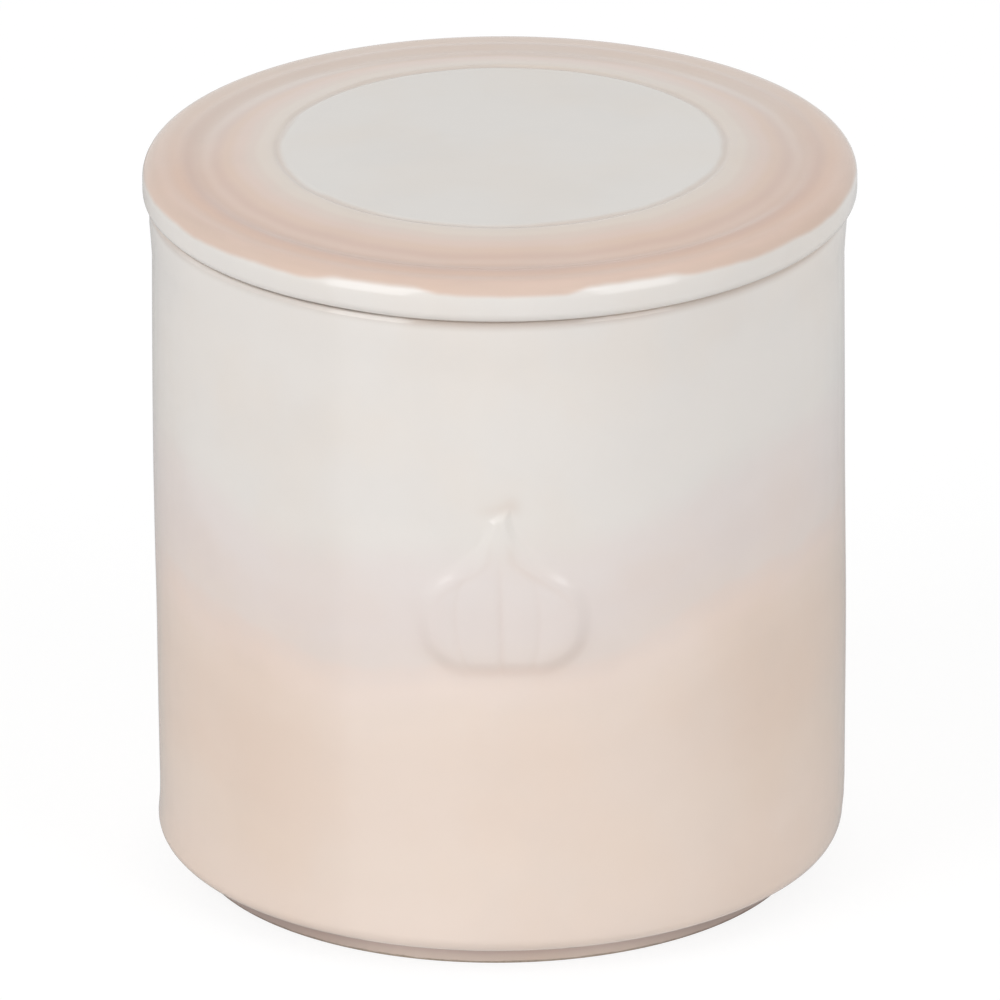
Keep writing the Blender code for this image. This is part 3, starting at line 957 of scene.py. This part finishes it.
def glaze_line(tree, parts):
    """The height at which the peach ends, which wanders up and down round the jar."""
    turn = maths(tree, "ARCTAN2", parts["X"], maths(tree, "MULTIPLY", parts["Y"], -1.0))
    heights = [height for degrees, height in GLAZE_LINE_BY_DEGREES]
    low, high = min(heights), max(heights)
    greys = [
        (math.radians(degrees), (*[(height - low) / (high - low)] * 3, 1.0))
        for degrees, height in GLAZE_LINE_BY_DEGREES
    ]
    share = ramp(tree, turn, greys, "CARDINAL")
    return maths(tree, "ADD", low, maths(tree, "MULTIPLY", share, high - low))


def faded_glaze(tree, place, parts, distance):
    """Peach below and white above, with painted light that makes the peach paler low down at the front, and
    white inside.
    """
    above = maths(tree, "SUBTRACT", parts["Z"], glaze_line(tree, parts))
    for waves in (PEACH_WANDER, PEACH_RIPPLE):
        above = maths(tree, "ADD", above, wobble(tree, place, *waves))
    glaze = ramp(tree, above, OMBRE)
    # painted light from the floor in front, paler peach low down
    pale = maths(tree, "MULTIPLY", between(tree, parts["Y"], *FRONT_LIGHT_PLACE), between(tree, above, *FRONT_LIGHT_BELOW))
    glaze = mix(tree, maths(tree, "MULTIPLY", pale, FRONT_LIGHT_SHARE), glaze, FRONT_LIGHT_GLAZE)
    inside = between(tree, distance, *INSIDE_WALL)
    inside = maths(tree, "MULTIPLY", inside, between(tree, parts["Z"], *INSIDE_FLOOR))
    return clouded(tree, place, mix(tree, inside, glaze, INSIDE_GLAZE))


def rim_shadow_share(tree, parts, distance):
    """How much painted shadow from the lid's overhang the rim's glaze takes, which is less in one place at
    the front left.
    """
    pale = both(tree, parts["X"], RIM_PALE_LEFT, RIM_PALE_RIGHT)
    pale = maths(tree, "MULTIPLY", pale, between(tree, parts["Y"], *RIM_PALE_FRONT))
    pale = maths(tree, "MULTIPLY", pale, between(tree, distance, *RIM_PALE_OUTSIDE))
    left_over = maths(tree, "SUBTRACT", 1.0, maths(tree, "MULTIPLY", pale, RIM_PALE_SHARE))
    return maths(tree, "MULTIPLY", left_over, between(tree, parts["Z"], RIM_SHADOW_START, RIM_SHADOW_END))


def jar_finish():
    finish, tree, shader, place, parts = new_finish("jar_glaze_finish")
    height = parts["Z"]
    distance = distance_from_axis(tree, parts)
    glaze = faded_glaze(tree, place, parts, distance)
    # gathered glaze, and painted shade under the bulb
    pooled_and_shade = add(tree, "Attribute", attribute_name=POOLED_AND_SHADE).outputs["Fac"]
    glaze = mix(tree, pooled_and_shade, glaze, POOLED_AND_SHADE_TINT, "MULTIPLY")
    # painted shadow of the lid's overhang on the jar's rim
    glaze = mix(tree, rim_shadow_share(tree, parts, distance), glaze, RIM_SHADOW_TINT, "MULTIPLY")
    # painted shade at the top of the foot ring
    glaze = mix(tree, both(tree, height, FOOT_SHADE_LOW, FOOT_SHADE_HIGH), glaze, FOOT_SHADE_TINT, "MULTIPLY")
    bare = bare_clay(tree, place, height, FOOT_BARE_HEIGHT)
    colour = mix(tree, bare, glaze, clay_colour(tree, place))
    # painted shade on the foot ring towards the sides
    aside = between(tree, maths(tree, "ABSOLUTE", parts["X"]), *FOOT_SHADE_SIDES)
    aside = maths(tree, "MULTIPLY", aside, between(tree, height, *FOOT_SHADE_HIGH))
    colour = mix(tree, aside, colour, FOOT_SIDE_SHADE_TINT, "MULTIPLY")
    tree.links.new(colour, shader.inputs["Base Color"])
    glaze_gloss(tree, place, shader, bare)
    glaze_bump(tree, place, shader)
    return finish


def lid_finish():
    finish, tree, shader, place, parts = new_finish("lid_glaze_finish")
    height = parts["Z"]
    distance = distance_from_axis(tree, parts)
    shift = maths(tree, "MULTIPLY", parts["X"], DISC_SHIFT / GROOVE_RADIUS)
    wavy = maths(tree, "ADD", maths(tree, "SUBTRACT", distance, shift), wobble(tree, place, *RING_WOBBLE))
    rings = ramp(tree, wavy, LID_RINGS)
    thin = maths(tree, "MULTIPLY", between(tree, parts["Y"], *THIN_BACK), between(tree, wavy, *THIN_RING))
    rings = mix(tree, maths(tree, "MULTIPLY", thin, THIN_SHARE), rings, THIN_GLAZE)
    line = maths(tree, "ADD", wobble(tree, place, *WHITE_WOBBLE), LID_WHITE_LINE)
    # painted highlight: the white line rises where the soft boxes are mirrored
    risen = both(tree, maths(tree, "ABSOLUTE", parts["X"]), HIGHLIGHT_RISE_INNER, HIGHLIGHT_RISE_OUTER)
    line = maths(tree, "ADD", line, maths(tree, "MULTIPLY", risen, LID_HIGHLIGHT_RISE))
    above = maths(tree, "SUBTRACT", height, line)
    on_top = between(tree, above, -LID_WHITE_SOFTNESS, LID_WHITE_SOFTNESS)
    outer = between(tree, distance, *LID_WHITE_OUTSIDE)
    white = maths(tree, "MULTIPLY", outer, maths(tree, "SUBTRACT", 1.0, on_top))
    white = maths(tree, "MAXIMUM", white, between(tree, height, *LID_WHITE_CEILING))
    glaze = clouded(tree, place, mix(tree, white, rings, WHITE_GLAZE))
    bare = bare_clay(tree, place, height, PLUG_BOTTOM + PLUG_BARE_HEIGHT)
    colour = mix(tree, bare, glaze, clay_colour(tree, place))
    tree.links.new(colour, shader.inputs["Base Color"])
    glaze_gloss(tree, place, shader, bare)
    glaze_bump(tree, place, shader)
    return finish


def seal_finish():
    finish, tree, shader, place, parts = new_finish("seal_silicone_finish")
    cloud = noise(tree, place, SILICONE_CLOUD_SIZE, CLOUD_DETAIL)
    cloud = between(tree, cloud, *SILICONE_CLOUD_SHARES)
    tree.links.new(mix(tree, cloud, SILICONE, CLOUDY_SILICONE), shader.inputs["Base Color"])
    satin = ranged(tree, noise(tree, place, SILICONE_SATIN_SIZE), *SILICONE_ROUGHNESS)
    tree.links.new(satin, shader.inputs["Roughness"])
    shader.inputs["IOR"].default_value = SILICONE_IOR
    grain = noise(tree, place, SILICONE_GRAIN_SIZE)
    bump = add(tree, "Bump", {"Height": grain, "Distance": SILICONE_BUMP})
    tree.links.new(bump.outputs[0], shader.inputs["Normal"])
    return finish


def dress(piece, finish, node, body):
    """The piece takes the finish, the CAD node's place and body."""
    piece.data.materials.clear()
    piece.data.materials.append(finish)
    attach(piece, body)
    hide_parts(node)


def background_rays(tree):
    """Two values: 1 for the rays that show the background to the camera, and 1 for those that show it
    in a mirror or through glass."""
    rays = add(tree, "LightPath").outputs
    mirrored = maths(tree, "MAXIMUM", rays["Is Glossy Ray"], rays["Is Transmission Ray"])
    return rays["Is Camera Ray"], mirrored


def mirrored_floor_level(tree):
    """How bright the floor is in the glaze: brightest in front, up to a straight edge on the left, and dim
    past that edge and behind the keeper's sides. The dim part ends sooner on the right."""
    place = add(tree, "TexCoord").outputs["Object"]
    parts = add(tree, "SeparateXYZ", {0: place}).outputs
    behind = between(tree, parts["Y"], MIRRORED_FRONT_REACH, MIRRORED_SIDE_REACH)
    along = maths(tree, "MULTIPLY", parts["Y"], math.sin(2 * MIRRORED_EDGE_TURN))
    across = maths(tree, "MULTIPLY", parts["X"], math.cos(2 * MIRRORED_EDGE_TURN))
    past_edge = maths(tree, "SUBTRACT", along, across)
    edge = -JAR_RADIUS * math.sin(MIRRORED_EDGE_TURN)
    left = between(tree, past_edge, edge - MIRRORED_EDGE_SOFTNESS, edge + MIRRORED_EDGE_SOFTNESS)
    dim = maths(tree, "MAXIMUM", behind, left)
    near_level = ranged(tree, dim, MIRRORED_FRONT_LEVEL, MIRRORED_SIDE_LEVEL)
    reach = maths(tree, "ADD", distance_from_axis(tree, parts), parts["X"])
    far = between(tree, reach, MIRRORED_NEAR_REACH, MIRRORED_FAR_REACH)
    return mix_numbers(tree, far, near_level, MIRRORED_LEVEL)


def make_floor():
    """A wide pale floor just under the foot, which looks white and still takes the keeper's soft shadow."""
    half = FLOOR_SIZE / 2
    corners = [(x, y, FLOOR_HEIGHT) for x, y in ((-half, -half), (half, -half), (half, half), (-half, half))]
    floor = made("studio_floor", corners, [(0, 1, 2, 3)])
    finish = bpy.data.materials.new("floor_finish")
    finish.use_nodes = True
    tree = finish.node_tree
    tree.nodes.remove(tree.nodes["Principled BSDF"])
    paper = add(tree, "BsdfDiffuse", {"Color": FLOOR_COLOUR}).outputs[0]
    seen, mirrored = background_rays(tree)
    level = maths(tree, "MULTIPLY", mirrored, mirrored_floor_level(tree))
    level = maths(tree, "MAXIMUM", level, maths(tree, "MULTIPLY", seen, FLOOR_GLOW))
    glow = add(tree, "Emission", {"Strength": level}).outputs[0]
    lit = add(tree, "MixShader", {0: FLOOR_SHADOW_SHARE, 1: glow, 2: paper}).outputs[0]
    shown = add(tree, "MixShader", {0: maths(tree, "MAXIMUM", seen, mirrored), 1: paper, 2: lit})
    tree.links.new(shown.outputs[0], tree.nodes["Material Output"].inputs["Surface"])
    floor.data.materials.append(finish)


def make_world():
    world = bpy.data.worlds.new("studio")
    bpy.context.scene.world = world
    world.use_nodes = True
    tree = world.node_tree
    background = tree.nodes["Background"]
    background.inputs["Color"].default_value = (1, 1, 1, 1)
    seen, mirrored = background_rays(tree)
    level = maths(tree, "MAXIMUM", AMBIENT, maths(tree, "MULTIPLY", mirrored, MIRRORED_LEVEL))
    level = maths(tree, "MAXIMUM", level, maths(tree, "MULTIPLY", seen, BACKDROP_LEVEL))
    tree.links.new(level, background.inputs["Strength"])


def direction(azimuth, elevation):
    """Outward from the object: azimuth 0 is the front, and grows towards +X."""
    return Vector((
        math.sin(azimuth) * math.cos(elevation), -math.cos(azimuth) * math.cos(elevation), math.sin(elevation)
    ))


def make_lamp(name, azimuth, elevation, distance, size, level, mirrored=False):
    """A soft rectangular lamp aimed at the keeper, which either lights it or is only mirrored in it.
    Its level is its own brightness, where 1 is white."""
    lamp = bpy.data.lights.new(name, "AREA")
    lamp.shape = "RECTANGLE"
    lamp.size, lamp.size_y = size
    lamp.energy = POWER_PER_LEVEL * level * lamp.size * lamp.size_y
    holder = bpy.data.objects.new(name, lamp)
    bpy.context.scene.collection.objects.link(holder)
    out = direction(math.radians(azimuth), math.radians(elevation))
    holder.location = Vector((0, 0, AIM_HEIGHT)) + out * distance
    holder.rotation_euler = out.to_track_quat("Z", "Y").to_euler()
    holder.visible_camera = False
    holder.visible_glossy = mirrored
    holder.visible_diffuse = not mirrored


def make_lamps():
    for name, azimuth, level, mirrored_azimuth, mirrored_level in (
        ("left", LEFT_BOX_AZIMUTH, LEFT_BOX_LEVEL, -MIRRORED_BOX_AZIMUTH, LEFT_MIRRORED_LEVEL),
        ("right", RIGHT_BOX_AZIMUTH, RIGHT_BOX_LEVEL, MIRRORED_BOX_AZIMUTH, RIGHT_MIRRORED_LEVEL),
    ):
        make_lamp("softbox_" + name, azimuth, BOX_ELEVATION, BOX_DISTANCE, BOX_SIZE, level)
        make_lamp(
            "mirrored_" + name, mirrored_azimuth, MIRRORED_BOX_ELEVATION,
            MIRRORED_BOX_DISTANCE, MIRRORED_BOX_SIZE, mirrored_level, mirrored=True,
        )
    make_lamp(
        "back_fill", BACK_FILL_AZIMUTH, BACK_FILL_ELEVATION,
        BACK_FILL_DISTANCE, BACK_FILL_SIZE, BACK_FILL_LEVEL,
    )


def make_camera():
    camera = bpy.data.objects.new("camera", bpy.data.cameras.new("camera"))
    bpy.context.scene.collection.objects.link(camera)
    out = direction(CAMERA_AZIMUTH, CAMERA_ELEVATION)
    camera.location = Vector((AIM_ACROSS, 0, AIM_HEIGHT)) + out * CAMERA_DISTANCE
    roll = Quaternion((0, 0, 1), CAMERA_ROLL)
    camera.rotation_euler = (out.to_track_quat("Z", "Y") @ roll).to_euler()
    camera.data.lens = CAMERA_LENS
    camera.data.sensor_width = CAMERA_SENSOR
    camera.data.clip_end = CAMERA_FAR
    bpy.context.scene.camera = camera


def main():
    make_camera()
    make_world()
    make_floor()
    make_lamps()
    dress(make_jar(), jar_finish(), "jar", "jar")
    dress(make_lid(), lid_finish(), "lid", "lid")
    dress(make_seal(), seal_finish(), "seal_ring", "seal")
    bpy.context.scene.view_settings.view_transform = "Standard"


main()
